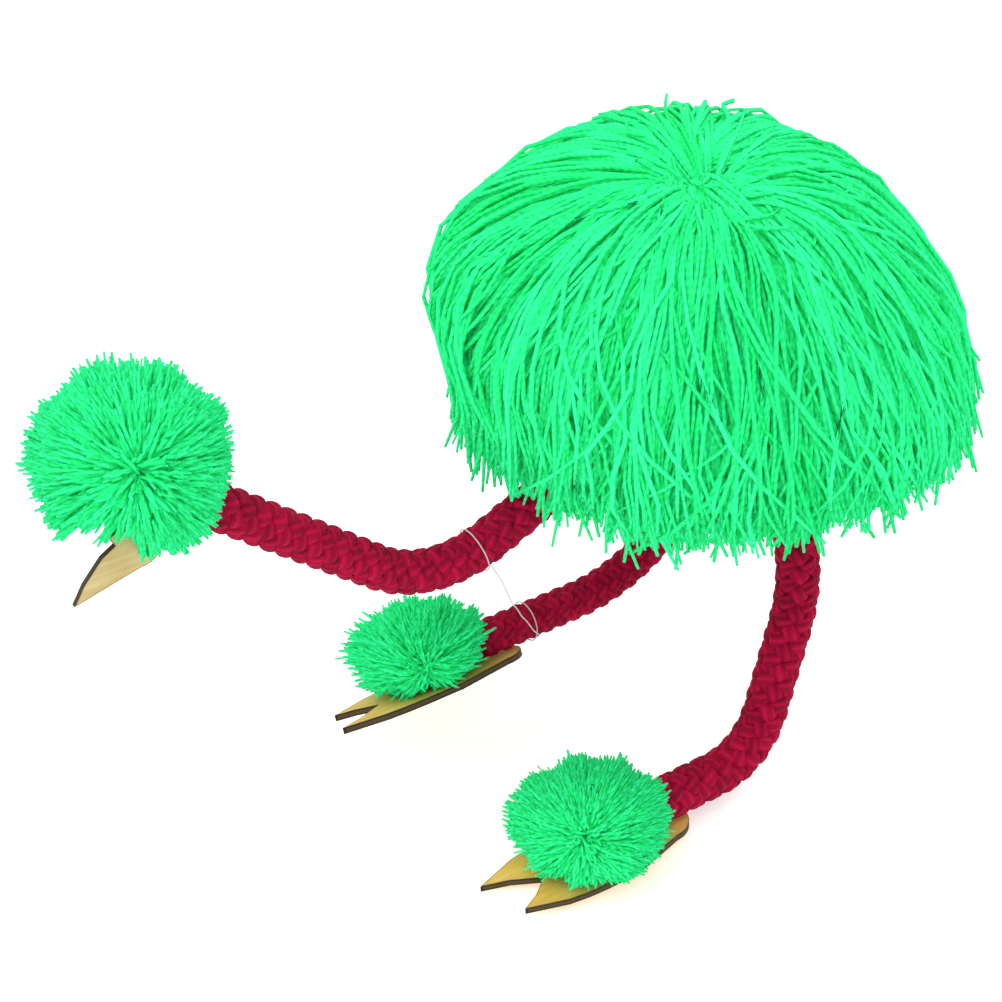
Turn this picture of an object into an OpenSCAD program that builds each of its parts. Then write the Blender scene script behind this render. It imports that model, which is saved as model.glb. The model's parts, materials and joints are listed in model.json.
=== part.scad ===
// Ostrich string marionette. A mop of yarn hangs over a turned body ball. A braided neck and two
// braided legs come out of the ball. The head is a ball in a pompom, with a flat beak, and each
// foot is a flat sole with a pompom on it.
// The bird faces -Y and its left side is +X. The origin is the mouth of the lifting string's
// bore, at the top of the body ball. All sizes are in millimetres and degrees.

/* [Body] */
// Diameter of the turned body ball
body_ball_d = 76; // [72:1:92]
// Diameter of the bore for the lifting string
string_bore_d = 3; // [2:0.5:5]
// Depth of the lifting string's bore
string_bore_depth = 12; // [8:1:16]
// Depth of the blind bores that the braids are glued into
braid_bore_depth = 16; // [12:1:19]
// Diameter of the button that the mop is tied to
crown_button_d = 22; // [16:1:26]
// Thickness of that button above the ball
crown_button_t = 12; // [8:1:16]

/* [Mop] */
// Diameter of the mop at its widest
mop_d = 160; // [150:2:190]
// Radius of the mop's rounded shoulder
mop_shoulder_r = 56; // [44:1:64]
// Depth of the pile of strands above the crown button
mop_t = 14; // [8:1:18]
// Thickness of the front lock that hangs over the neck
lock_t = 14; // [8:1:16]
// Drop of the hem below the widest place
mop_drop = 37; // [27:1:60]
// How far the hem draws in from the widest place
mop_taper = 4; // [0:1:10]
// Width of the parting in the hem that the neck moves in
parting_w = 84; // [60:2:100]
// Height of that parting above the hem
parting_h = 34; // [22:1:38]

/* [Neck] */
// Diameter of the neck's braid
neck_d = 13.2; // [11:0.2:16]
// Angle at which the neck leaves the ball, below the horizontal
neck_fall = 24; // [15:1:30]
// Straight run of the neck from the ball to its bend
neck_run = 43; // [36:1:60]
// Radius of the neck's bend
neck_bend_r = 36; // [30:1:50]
// Angle through which the neck bends up
neck_bend = 64; // [50:1:75]
// Straight run of the neck from its bend to the head
neck_reach = 63; // [50:1:80]

/* [Head] */
// Diameter of the ball inside the head
head_ball_d = 28; // [24:1:30]
// Depth of the bore that the neck is glued into
head_bore_depth = 6; // [5:0.5:8]
// Diameter of the head's pompom
head_pom_d = 51; // [44:1:60]
// Height of the pompom's centre above the ball's centre
head_pom_lift = 5; // [0:0.5:6]
// Distance of the pompom's centre in front of the ball's centre
head_pom_lead = 3; // [0:0.5:4]
// Length of the beak from its widest place to its tip
beak_l = 22; // [16:1:28]
// Height of the beak at its widest
beak_h = 12; // [9:0.5:14]
// Thickness of the beak
beak_t = 1.5; // [1:0.5:3]
// Angle of the beak below the horizontal
beak_fall = 29; // [20:1:38]

/* [Legs] */
// Distance of each hip from the middle of the body
hip_x = 21.5; // [19:0.5:24]
// Distance of the hips behind the middle of the body
hip_y = 18; // [14:1:20]
// Diameter of the left leg's braid
left_leg_d = 14.2; // [12:0.2:15]
// Outward lean of the left leg
left_lean = 14; // [8:1:18]
// Outward roll of the left foot on its leg
left_foot_roll = 8; // [0:1:14]
// Straight drop of the left leg from the ball to its knee
left_drop = 34; // [28:1:50]
// Radius of the left knee
left_knee_r = 50; // [40:1:60]
// Bend of the left knee
left_knee = 27; // [20:1:35]
// Straight run from the left knee to the ankle
left_shin = 27; // [20:1:36]
// Radius of the left ankle
left_ankle_r = 25; // [23:1:32]
// Straight run of the braid from the left ankle to its end on the sole
left_instep = 34; // [26:1:40]
// Diameter of the right leg's braid
right_leg_d = 12.6; // [11:0.2:15]
// Outward lean of the right leg
right_lean = 8; // [4:1:14]
// Straight drop of the right leg from the ball to its knee
right_drop = 44; // [34:1:56]
// Radius of the right knee
right_knee_r = 24; // [23:1:36]
// Bend of the right knee
right_knee = 50; // [35:1:60]
// Straight run from the right knee to the ankle
right_shin = 4; // [2:1:16]
// Radius of the right ankle
right_ankle_r = 41; // [30:1:50]
// Straight run of the braid from the right ankle to its end on the sole
right_instep = 47; // [40:1:60]
// Outward roll of the right foot on its leg
right_foot_roll = 36; // [20:1:44]

/* [Braids] */
// Largest bend at a flex point
most_bend = 60; // [50:1:70]
// Distance of the neck's first flex point from the ball
neck_flex = 10; // [9:0.5:12]
// Distance between the neck's side flex and its lift flex
collar_run = 18; // [17:0.5:22]
// Distance of each hip's flex point from the ball
hip_flex = 11; // [10:0.5:14]
// Distance of the head's flex point from the end of the neck
nod_back = 10; // [8:0.5:12]

/* [Feet] */
// Length of each sole
sole_l = 69; // [60:1:76]
// Width of each sole
sole_w = 28; // [24:1:32]
// Thickness of the soles
ply_t = 2; // [2:0.5:4]
// Width of the heel
heel_w = 18; // [14:1:22]
// Distance between the tips of the two toes
toe_gap = 16; // [12:1:20]
// How much further the inner toe reaches than the outer one
toe_lead = 5; // [0:1:8]
// Depth of the notch between the toes
toe_notch = 12; // [8:1:16]
// Distance of the end of the braid from the back of the heel
heel_back = 22; // [20:1:28]
// Diameter of the left foot's pompom
left_pom_d = 50; // [44:1:54]
// Diameter of the right foot's pompom
right_pom_d = 47; // [42:1:52]
// Height of the foot pompoms
foot_pom_h = 26; // [22:1:32]
// Distance of a foot pompom's centre in front of the end of the braid
foot_pom_lead = 12; // [11:1:14]

/* [Thread] */
// Diameter of the thread between the neck and the right leg
thread_d = 0.4; // [0.4:0.1:0.8]

/* [Hidden] */
glue = 0.1;
clear = 0.3;
round_fn = 96;
circle_fn = 48;
body_r = body_ball_d / 2;
head_r = head_ball_d / 2;
mop_r = mop_d / 2;
mop_top = crown_button_t + mop_t;
shoulder_z = mop_top - mop_shoulder_r;
shoulder_x = mop_r - mop_shoulder_r;
hem_z = shoulder_z - mop_drop;
hip_z = -body_r - sqrt(body_r * body_r - hip_x * hip_x - hip_y * hip_y);
string_way = string_bore_d + 2;
flex_gap = 2.5;
braid_sides = 20;
cap_rings = 4;
thread_sides = 8;
shoulder_step = 10;
ring_gap = 5;
tie_r = 4.5;
tie_t = 1.4;
pile_gap = 1;
lock_gap = 1.2;
lock_slit = 12;
curl_share = 0.7;
head_seat = 7.5;
neck_loop_gap = 13;
leg_loop_gap = 1;
beak_rise = 3.2;

// Shares of the beak's length and height: its curve, and the block that joins it to the head ball
beak_curve = [[0.35, -0.32], [1, 0], [0.75, 0.26], [0.4, 0.48]];
beak_root = [0.6, 0.75];
beak_seat = [0.3, 0.42];
// Shares of a sole's half width and length along its side, from the heel to a toe
sole_side = [[1, 0.42], [1, 0.6], [0.97, 0.7], [0.9, 0.8]];
// Shares of a toe's spread and length along the inner side of the notch
notch_bulge = [0.62, 0.5];

// A braid's route is a list of [length, bend] steps from the bottom of its bore
function arc(r, bend) = [r * bend * PI / 180, bend];
neck_route = [[braid_bore_depth + neck_run, 0], arc(neck_bend_r, neck_bend), [neck_reach, 0]];
left_route = [[braid_bore_depth + left_drop, 0], arc(left_knee_r, left_knee), [left_shin, 0],
    arc(left_ankle_r, 90 - left_knee), [left_instep, 0]];
right_route = [[braid_bore_depth + right_drop, 0], arc(right_knee_r, right_knee),
    [right_shin, 0], arc(right_ankle_r, 90 - right_knee), [right_instep, 0]];

// A place on a route is [y, z, heading], with heading 0 straight down and 90 straight ahead
neck_start = [-(body_r - braid_bore_depth) * cos(neck_fall),
    -body_r - (body_r - braid_bore_depth) * sin(neck_fall), 90 - neck_fall];
leg_start = [0, braid_bore_depth, 0];
function walk(at, run, bend) = bend == 0
    ? [at[0] - run * sin(at[2]), at[1] - run * cos(at[2]), at[2]]
    : let (r = run / bend * 180 / PI, h = at[2] + bend)
        [at[0] + r * (cos(h) - cos(at[2])), at[1] - r * (sin(h) - sin(at[2])), h];
function spot(route, s, at, i = 0) = i == len(route)
    ? walk(at, s, 0)
    : s <= route[i][0]
        ? walk(at, s, route[i][1] * s / route[i][0])
        : spot(route, s - route[i][0], walk(at, route[i][0], route[i][1]), i + 1);
function total(route, i = 0) = i == len(route) ? 0 : route[i][0] + total(route, i + 1);

// Distances along each route of its flex points
sway_s = braid_bore_depth + neck_flex;
lift_s = sway_s + collar_run;
curl_s = braid_bore_depth + neck_run + neck_route[1][0] * curl_share;
nod_s = total(neck_route) - nod_back;
hip_s = braid_bore_depth + hip_flex;
left_knee_s = braid_bore_depth + left_drop + left_route[1][0] / 2;
left_ankle_s = total(left_route) - left_instep - left_route[3][0] / 2;
right_knee_s = braid_bore_depth + right_drop + right_route[1][0] / 2;
right_ankle_s = total(right_route) - right_instep + hip_flex;
head_s = total(neck_route) + head_r + head_seat;
function flex(r) = r / cos(most_bend / 2) + clear;

// The thread's points, from the neck down to the right leg
thread_points = [[7.8, -79.5, -73.5], [6.5, -76.5, -78.5], [4.5, -73.5, -83.5], [2, -71, -88],
    [-0.5, -68.5, -92.5], [-3, -66, -97], [-5.5, -63.5, -101.5], [-8, -61, -106], [-10, -58, -110],
    [-12, -55.5, -114.5], [-14.5, -53, -118.5], [-16.5, -50, -122.5], [-18.5, -47.5, -126.5],
    [-20.5, -45, -130.5], [-22.5, -42.5, -134.5], [-24.5, -39.5, -138]];

// Stands the children's +Z along the heading of a place
module aim(at) translate([0, at[0], at[1]]) rotate([180 - at[2], 0, 0]) children();

// A closed tube through rings of points, with a point at each end, all in order along it
module tube(first, rings, last, sides) {
    count = len(rings);
    polyhedron(
        points = concat([first], [for (ring = rings) each ring], [last]),
        faces = concat(
            [for (j = [0:sides - 1]) [0, 1 + j, 1 + (j + 1) % sides]],
            [for (i = [0:count - 2], j = [0:sides - 1]) let (a = 1 + i * sides, k = (j + 1) % sides)
                [a + j, a + sides + j, a + sides + k, a + k]],
            [for (j = [0:sides - 1]) let (a = 1 + (count - 1) * sides)
                [a + sides, a + (j + 1) % sides, a + j]]));
}

// A point at a distance along a route, r out from its middle at an angle round it
function on_braid(route, at, s, r, turn) = let (place = spot(route, s, at))
    [r * cos(turn), place[0] - r * sin(turn) * cos(place[2]), place[1] + r * sin(turn) * sin(place[2])];

// A bending stretch of braid, with a round end wherever it stops at a flex point
module braid(route, at, r, s0, s1, round_end = true) {
    count = ceil((s1 - s0) / ring_gap);
    rows = concat(
        [for (k = [1:cap_rings]) [s0 - r * cos(90 * k / cap_rings), r * sin(90 * k / cap_rings)]],
        [for (k = [1:count - 1]) [s0 + (s1 - s0) * k / count, r]],
        round_end ? [for (k = [cap_rings:-1:1])
            [s1 + r * cos(90 * k / cap_rings), r * sin(90 * k / cap_rings)]] : [[s1, r]]);
    color("crimson") tube(
        on_braid(route, at, s0 - r, 0, 0),
        [for (row = rows) [for (j = [0:braid_sides - 1])
            on_braid(route, at, row[0], row[1], 360 * j / braid_sides)]],
        on_braid(route, at, s1 + (round_end ? r : 0), 0, 0), braid_sides);
}

// A straight piece of braid with flat ends, glued into a bore
module braid_end(route, at, d, s0, s1) color("crimson") aim(spot(route, s0, at))
    cylinder(h = s1 - s0, d = d, $fn = circle_fn);

// Carries a leg's own plane to its hip, with side 1 on the left and -1 on the right
module leg(side) translate([side * hip_x, hip_y, hip_z])
    rotate([0, side == 1 ? -left_lean : right_lean, 0]) children();

// Carries a foot's frame to the end of its braid: +Z is ahead and -Y is down to the sole
module foot(side) {
    route = side == 1 ? left_route : right_route;
    leg(side) aim(spot(route, total(route), leg_start))
        rotate([0, 0, side == 1 ? -left_foot_roll : right_foot_roll]) children();
}

module body_ball() color("burlywood") difference() {
    translate([0, 0, -body_r]) sphere(body_r, $fn = round_fn);
    translate([0, 0, -string_bore_depth]) cylinder(h = body_r, d = string_bore_d, $fn = circle_fn);
    aim(neck_start) cylinder(h = body_r, r = neck_d / 2 + glue, $fn = circle_fn);
    leg(1) aim(leg_start) cylinder(h = body_r, r = left_leg_d / 2 + glue, $fn = circle_fn);
    leg(-1) aim(leg_start) cylinder(h = body_r, r = right_leg_d / 2 + glue, $fn = circle_fn);
}

module crown_button() color("peru") difference() {
    translate([0, 0, -crown_button_t / 4])
        cylinder(h = crown_button_t * 5 / 4 - glue, d = crown_button_d, $fn = circle_fn);
    translate([0, 0, -body_r]) sphere(body_r + glue, $fn = round_fn);
    translate([0, 0, -crown_button_t]) cylinder(h = 3 * crown_button_t, d = string_way, $fn = circle_fn);
}

// Half section of the mop, inset by a depth: a flat crown, a round shoulder and a hem
module dome_section(inset) {
    r = mop_shoulder_r - inset;
    polygon(concat(
        [[0, hem_z], [mop_r - inset - mop_taper, hem_z]],
        [for (turn = [0:shoulder_step:90]) [shoulder_x + r * cos(turn), shoulder_z + r * sin(turn)]],
        [[0, shoulder_z + r]]));
}

// Half section of the space in the mop: over the button, round the ball and straight down from it
module core_section() {
    r = body_r + pile_gap;
    lip = crown_button_d / 2 + pile_gap;
    polygon(concat(
        [[0, hem_z - pile_gap], [r, hem_z - pile_gap]],
        [for (turn = [0:shoulder_step:acos(lip / r)]) [r * cos(turn), r * sin(turn) - body_r]],
        [[lip, sqrt(r * r - lip * lip) - body_r], [lip, crown_button_t + pile_gap],
            [0, crown_button_t + pile_gap]]));
}

// The block of the hem that parts round the neck
module parting(gap) translate([-parting_w / 2 - gap, -mop_r - gap, hem_z - gap])
    cube([parting_w + 2 * gap, mop_r + gap, parting_h + 2 * gap]);

module yarn_mop() color("springgreen") difference() {
    rotate_extrude($fn = round_fn) difference() {
        dome_section(0);
        core_section();
    }
    cylinder(h = 2 * mop_top, d = string_way, $fn = circle_fn);
    parting(0);
}

module mop_front_lock() color("springgreen") difference() {
    intersection() {
        rotate_extrude($fn = round_fn) difference() {
            dome_section(0);
            dome_section(lock_t);
        }
        parting(-clear);
    }
    aim(spot(neck_route, sway_s, neck_start))
        cylinder(h = neck_run, r = neck_d / 2 + lock_gap, $fn = circle_fn);
    translate([-neck_d / 2 - lock_gap, -mop_d, hem_z - mop_drop])
        cube([neck_d + 2 * lock_gap, mop_d, mop_drop + lock_slit]);
}

module neck_root() braid_end(neck_route, neck_start, neck_d, glue, sway_s - flex_gap);

module neck_collar() braid(neck_route, neck_start, neck_d / 2, sway_s + flex(neck_d / 2),
    lift_s - flex(neck_d / 2));

module neck_lower_braid() braid(neck_route, neck_start, neck_d / 2, lift_s + flex(neck_d / 2),
    curl_s - flex(neck_d / 2));

module neck_upper_braid() braid(neck_route, neck_start, neck_d / 2, curl_s + flex(neck_d / 2),
    nod_s - flex(neck_d / 2));

module neck_tip() braid_end(neck_route, neck_start, neck_d, nod_s + flex_gap,
    head_s - head_r + head_bore_depth - glue);

// The head's frame: +Z up, -Y ahead, at the middle of its ball
module head() {
    middle = spot(neck_route, head_s, neck_start);
    translate([0, middle[0], middle[1]]) children();
}

// The beak's outline: x runs to the tip and y is up
module beak_outline() {
    intersection() {
        translate([-beak_h / 4, -beak_h]) square([beak_l, 2 * beak_h]);
        circle(d = beak_h, $fn = circle_fn);
    }
    polygon(concat([[0, -beak_h / 2]], [for (at = beak_curve) [beak_l * at[0], beak_h * at[1]]],
        [[0, beak_h / 2]]));
}

// The beak, its root let into a slot under the head ball's front
module beak_blank(t) rotate([0, 0, -90]) rotate([90, 0, 0]) translate([0, 0, -t / 2]) linear_extrude(t)
    translate([beak_h * beak_seat[0], -head_r - beak_h * beak_seat[1]]) rotate(-beak_fall) {
        beak_outline();
        translate([-beak_h / 4, 0]) square([beak_h * beak_root[0], beak_h * beak_root[1]]);
    }

module head_ball() color("dimgray") difference() {
    head() sphere(head_r, $fn = round_fn);
    aim(spot(neck_route, head_s - head_r, neck_start)) {
        cylinder(h = head_bore_depth, r = neck_d / 2 + glue, $fn = circle_fn);
        mirror([0, 0, 1]) cylinder(h = head_r, r = neck_d / 2 + glue, $fn = circle_fn);
    }
    head() beak_blank(beak_t + 2 * glue);
}

module beak() color("tan") head() beak_blank(beak_t);

module head_pompom() color("springgreen") difference() {
    head() translate([0, -head_pom_lead, head_pom_lift]) sphere(head_pom_d / 2, $fn = round_fn);
    head() sphere(head_r + clear, $fn = round_fn);
    aim(spot(neck_route, nod_s, neck_start))
        cylinder(h = head_s - nod_s, r = neck_d / 2 + clear, $fn = circle_fn);
    head() translate([-beak_t / 2 - clear, -head_pom_d, -head_pom_d])
        cube([beak_t + 2 * clear, head_pom_d + head_r, head_pom_d - head_r + beak_rise]);
}

// The sole's outline: x is towards the outer side and y is ahead, from the back of the heel
module sole_outline() {
    translate([0, heel_w / 2]) circle(d = heel_w, $fn = circle_fn);
    outer_l = sole_l - toe_lead;
    notch_y = outer_l - toe_notch;
    polygon(concat(
        [[heel_w / 2, heel_w / 2]],
        [for (at = sole_side) [at[0] * sole_w / 2, at[1] * outer_l]],
        [[toe_gap / 2, outer_l], [notch_bulge[0] * toe_gap / 2, outer_l - notch_bulge[1] * toe_notch],
            [0, notch_y], [-notch_bulge[0] * toe_gap / 2, sole_l - notch_bulge[1] * (sole_l - notch_y)],
            [-toe_gap / 2, sole_l]],
        [for (i = [len(sole_side) - 1:-1:0]) [-sole_side[i][0] * sole_w / 2, sole_side[i][1] * sole_l]],
        [[-heel_w / 2, heel_w / 2]]));
}

module sole(side) color("tan") foot(side) rotate([90, 0, 0])
    translate([0, -heel_back, (side == 1 ? left_leg_d : right_leg_d) / 2 + glue])
        linear_extrude(ply_t) mirror([side == 1 ? 0 : 1, 0, 0]) sole_outline();

// Carries a pompom's frame to the sole: +Z is up from the middle of the pompom's underside
module on_sole(side) foot(side)
    translate([0, -(side == 1 ? left_leg_d : right_leg_d) / 2 - glue, foot_pom_lead])
        rotate([-90, 0, 0]) children();

module pompom_tie(side) color("seagreen") on_sole(side) translate([0, 0, tie_t + glue])
    rotate_extrude($fn = circle_fn) translate([tie_r, 0]) circle(tie_t, $fn = circle_fn);

module foot_pompom(side) color("springgreen") difference() {
    on_sole(side) translate([0, 0, foot_pom_h / 2 + glue]) rotate_extrude($fn = round_fn) {
        edge = (side == 1 ? left_pom_d : right_pom_d) / 2 - foot_pom_h / 2;
        intersection() {
            translate([edge, 0]) circle(foot_pom_h / 2, $fn = round_fn);
            translate([0, -foot_pom_h / 2]) square([foot_pom_h + edge, foot_pom_h]);
        }
        translate([0, -foot_pom_h / 2]) square([edge, foot_pom_h]);
    }
    foot(side) translate([0, 0, -sole_l]) cylinder(h = sole_l + clear,
        r = (side == 1 ? left_leg_d : right_leg_d) / 2 + clear, $fn = circle_fn);
    on_sole(side) translate([0, 0, -tie_t]) cylinder(h = 4 * tie_t + clear, r = tie_r + tie_t + clear,
        $fn = circle_fn);
}

module left_leg_root() leg(1) braid_end(left_route, leg_start, left_leg_d, glue, hip_s - flex_gap);

module left_thigh_braid() leg(1) braid(left_route, leg_start, left_leg_d / 2,
    hip_s + flex(left_leg_d / 2), left_knee_s - flex(left_leg_d / 2));

module left_shin_braid() leg(1) braid(left_route, leg_start, left_leg_d / 2,
    left_knee_s + flex(left_leg_d / 2), left_ankle_s - flex(left_leg_d / 2));

module left_ankle_braid() leg(1) braid(left_route, leg_start, left_leg_d / 2,
    left_ankle_s + flex(left_leg_d / 2), total(left_route), round_end = false);

module right_leg_root() leg(-1)
    braid_end(right_route, leg_start, right_leg_d, glue, hip_s - flex_gap);

module right_thigh_braid() leg(-1) braid(right_route, leg_start, right_leg_d / 2,
    hip_s + flex(right_leg_d / 2), right_knee_s - flex(right_leg_d / 2));

module right_shin_braid() leg(-1) braid(right_route, leg_start, right_leg_d / 2,
    right_knee_s + flex(right_leg_d / 2), right_ankle_s - flex(right_leg_d / 2));

module right_ankle_braid() leg(-1) braid(right_route, leg_start, right_leg_d / 2,
    right_ankle_s + flex(right_leg_d / 2), total(right_route), round_end = false);

// The thread: a ring of points round each point of its route
module control_thread() {
    count = len(thread_points);
    r = thread_d / 2;
    color("ivory") tube(thread_points[0],
        [for (i = [0:count - 1]) let (
            way = thread_points[min(i + 1, count - 1)] - thread_points[max(i - 1, 0)],
            side = cross(way, [1, 0, 0]) / norm(cross(way, [1, 0, 0])),
            out = cross(way, side) / norm(way))
            [for (j = [0:thread_sides - 1]) let (turn = 360 * j / thread_sides)
                thread_points[i] + r * cos(turn) * side + r * sin(turn) * out]],
        thread_points[count - 1], thread_sides);
}

// A loop of thread round a braid
module thread_loop(route, at, r, s) color("ivory") aim(spot(route, s, at))
    rotate_extrude($fn = circle_fn) translate([r + thread_d / 2 + glue, 0])
        circle(d = thread_d, $fn = 2 * thread_sides);

module neck_thread_loop() thread_loop(neck_route, neck_start, neck_d / 2,
    lift_s + flex(neck_d / 2) + neck_loop_gap);

module leg_thread_loop() leg(-1) thread_loop(right_route, leg_start, right_leg_d / 2,
    right_ankle_s + flex(right_leg_d / 2) + leg_loop_gap);

body_ball();
crown_button();
yarn_mop();
mop_front_lock();
neck_root();
left_leg_root();
right_leg_root();
neck_collar();
neck_lower_braid();
neck_upper_braid();
neck_tip();
head_ball();
beak();
head_pompom();
left_thigh_braid();
left_shin_braid();
left_ankle_braid();
sole(1);  // left_sole
pompom_tie(1);  // left_pompom_tie
foot_pompom(1);  // left_foot_pompom
right_thigh_braid();
right_shin_braid();
right_ankle_braid();
sole(-1);  // right_sole
pompom_tie(-1);  // right_pompom_tie
foot_pompom(-1);  // right_foot_pompom
control_thread();
neck_thread_loop();
leg_thread_loop();
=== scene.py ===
import json
import bpy
import numpy as np
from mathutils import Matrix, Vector

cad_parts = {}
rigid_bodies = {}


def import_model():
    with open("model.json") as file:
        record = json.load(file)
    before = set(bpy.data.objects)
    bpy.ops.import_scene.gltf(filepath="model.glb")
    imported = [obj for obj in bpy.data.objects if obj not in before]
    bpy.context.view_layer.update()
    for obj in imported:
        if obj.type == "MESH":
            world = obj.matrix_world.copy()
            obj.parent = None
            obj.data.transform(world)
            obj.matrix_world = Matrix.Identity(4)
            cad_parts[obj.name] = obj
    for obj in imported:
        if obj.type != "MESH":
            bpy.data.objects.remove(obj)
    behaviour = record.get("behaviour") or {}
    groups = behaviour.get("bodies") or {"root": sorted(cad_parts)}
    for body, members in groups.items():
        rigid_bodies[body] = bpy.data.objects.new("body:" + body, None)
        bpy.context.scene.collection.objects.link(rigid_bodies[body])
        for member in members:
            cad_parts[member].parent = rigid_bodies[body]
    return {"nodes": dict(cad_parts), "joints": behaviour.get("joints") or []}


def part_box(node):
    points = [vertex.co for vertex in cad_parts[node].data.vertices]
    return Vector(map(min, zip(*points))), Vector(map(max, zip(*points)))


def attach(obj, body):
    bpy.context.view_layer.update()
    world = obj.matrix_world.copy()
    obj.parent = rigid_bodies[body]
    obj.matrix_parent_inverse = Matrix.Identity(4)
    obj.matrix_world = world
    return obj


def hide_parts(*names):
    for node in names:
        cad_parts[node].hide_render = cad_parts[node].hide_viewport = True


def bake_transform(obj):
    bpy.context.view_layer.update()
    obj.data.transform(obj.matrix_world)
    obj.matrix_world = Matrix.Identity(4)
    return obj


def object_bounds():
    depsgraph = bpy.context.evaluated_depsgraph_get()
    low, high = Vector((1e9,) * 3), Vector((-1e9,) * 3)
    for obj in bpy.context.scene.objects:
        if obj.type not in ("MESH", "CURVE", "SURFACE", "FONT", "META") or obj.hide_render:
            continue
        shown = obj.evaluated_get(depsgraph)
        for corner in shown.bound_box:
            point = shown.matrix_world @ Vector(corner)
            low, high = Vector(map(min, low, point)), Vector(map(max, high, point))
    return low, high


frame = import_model()
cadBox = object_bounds()
mm = 0.001
turn = 2 * np.pi
rng = np.random.default_rng(11)

view = dict(azimuth=56, elevation=35, distance=600 * mm, target=(-14.4 * mm, -60.9 * mm, -71.6 * mm),
            lens=73.3, sensor=36)


def aimAt(thing, place, target):
    thing.location = place
    thing.rotation_euler = (Vector(target) - Vector(place)).to_track_quat("-Z", "Y").to_euler()


def addCamera():
    az, el = np.radians(view["azimuth"]), np.radians(view["elevation"])
    back = Vector((np.sin(az) * np.cos(el), -np.cos(az) * np.cos(el), np.sin(el)))
    data = bpy.data.cameras.new("camera")
    data.lens = view["lens"]
    data.sensor_width = view["sensor"]
    data.clip_start = 0.01
    camera = bpy.data.objects.new("camera", data)
    bpy.context.collection.objects.link(camera)
    aimAt(camera, Vector(view["target"]) + view["distance"] * back, view["target"])
    bpy.context.scene.camera = camera


studio = dict(floorSize=6.0, floorGap=1.5 * mm, worldColour=(1, 1, 1), worldStrength=0.92,
              lamps=[("keyLamp", (0.55, -0.75, 1.15), 0.9, 10.0),
                     ("fillLamp", (-0.9, -0.6, 0.7), 1.0, 2.5),
                     ("rearLamp", (-0.3, 1.0, 1.0), 0.9, 4.5)])


def addLights():
    world = bpy.data.worlds.new("studio")
    world.use_nodes = True
    background = world.node_tree.nodes["Background"]
    background.inputs["Color"].default_value = (*studio["worldColour"], 1)
    background.inputs["Strength"].default_value = studio["worldStrength"]
    bpy.context.scene.world = world
    for name, place, size, power in studio["lamps"]:
        data = bpy.data.lights.new(name, "AREA")
        data.size = size
        data.energy = power
        lamp = bpy.data.objects.new(name, data)
        bpy.context.collection.objects.link(lamp)
        aimAt(lamp, place, view["target"])


class Signal:
    # wraps one socket, so that a sum written in Python adds its Math nodes
    def __init__(self, tree, socket):
        self.tree = tree
        self.socket = socket

    def join(self, operation, other, swap=False):
        node = self.tree.nodes.new("ShaderNodeMath")
        node.operation = operation
        plug(self.tree, node.inputs[1 if swap else 0], self)
        if other is not None:
            plug(self.tree, node.inputs[0 if swap else 1], other)
        return Signal(self.tree, node.outputs[0])

    def __add__(self, other):
        return self.join("ADD", other)

    def __radd__(self, other):
        return self.join("ADD", other, True)

    def __sub__(self, other):
        return self.join("SUBTRACT", other)

    def __rsub__(self, other):
        return self.join("SUBTRACT", other, True)

    def __mul__(self, other):
        return self.join("MULTIPLY", other)

    def __rmul__(self, other):
        return self.join("MULTIPLY", other, True)

    def apply(self, operation):
        return self.join(operation, None)

    def between(self, low, high):
        # 0 below low, 1 above high and straight between them
        scaled = (self - low) * (1 / (high - low))
        return scaled.join("MAXIMUM", 0).join("MINIMUM", 1)


def plug(tree, socket, value):
    if isinstance(value, Signal):
        tree.links.new(value.socket, socket)
    else:
        socket.default_value = value


class Finish:
    # one material and its nodes
    def __init__(self, name, **constants):
        self.material = bpy.data.materials.new(name)
        self.material.use_nodes = True
        self.tree = self.material.node_tree
        self.shader = self.tree.nodes["Principled BSDF"]
        for label, value in constants.items():
            self.shader.inputs[label.replace("_", " ")].default_value = value

    def node(self, kind, output=0, settings=None, inputs=None):
        made = self.tree.nodes.new("ShaderNode" + kind)
        for key, value in (settings or {}).items():
            setattr(made, key, value)
        for key, value in (inputs or {}).items():
            plug(self.tree, made.inputs[key], value)
        return Signal(self.tree, made.outputs[output])

    def noise(self, vector, scale, detail=2.0, roughness=0.5):
        return self.node("TexNoise", 0, {}, {"Vector": vector, "Scale": scale, "Detail": detail,
                                             "Roughness": roughness})

    def objectPoint(self):
        return self.node("TexCoord", 3)

    def stretched(self, scale):
        return self.node("Mapping", 0, {}, {"Vector": self.objectPoint(), "Scale": scale})

    def dot(self, first, second):
        return self.node("VectorMath", 1, {"operation": "DOT_PRODUCT"}, {0: first, 1: second})

    def blend(self, share, first, second):
        return self.node("Mix", 2, {"data_type": "RGBA"}, {0: share, 6: first, 7: second})

    def feed(self, **sockets):
        for label, value in sockets.items():
            plug(self.tree, self.shader.inputs[label.replace("_", " ")], value)
        return self.material

    def bump(self, height, distance, strength=1.0):
        return self.node("Bump", 0, {}, {"Height": height, "Distance": distance, "Strength": strength})


def rgb(red, green, blue):
    # display colour to linear light
    return (*[(c / 12.92) if c <= 0.04045 else ((c + 0.055) / 1.055) ** 2.4
              for c in (red / 255, green / 255, blue / 255)], 1)


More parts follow.
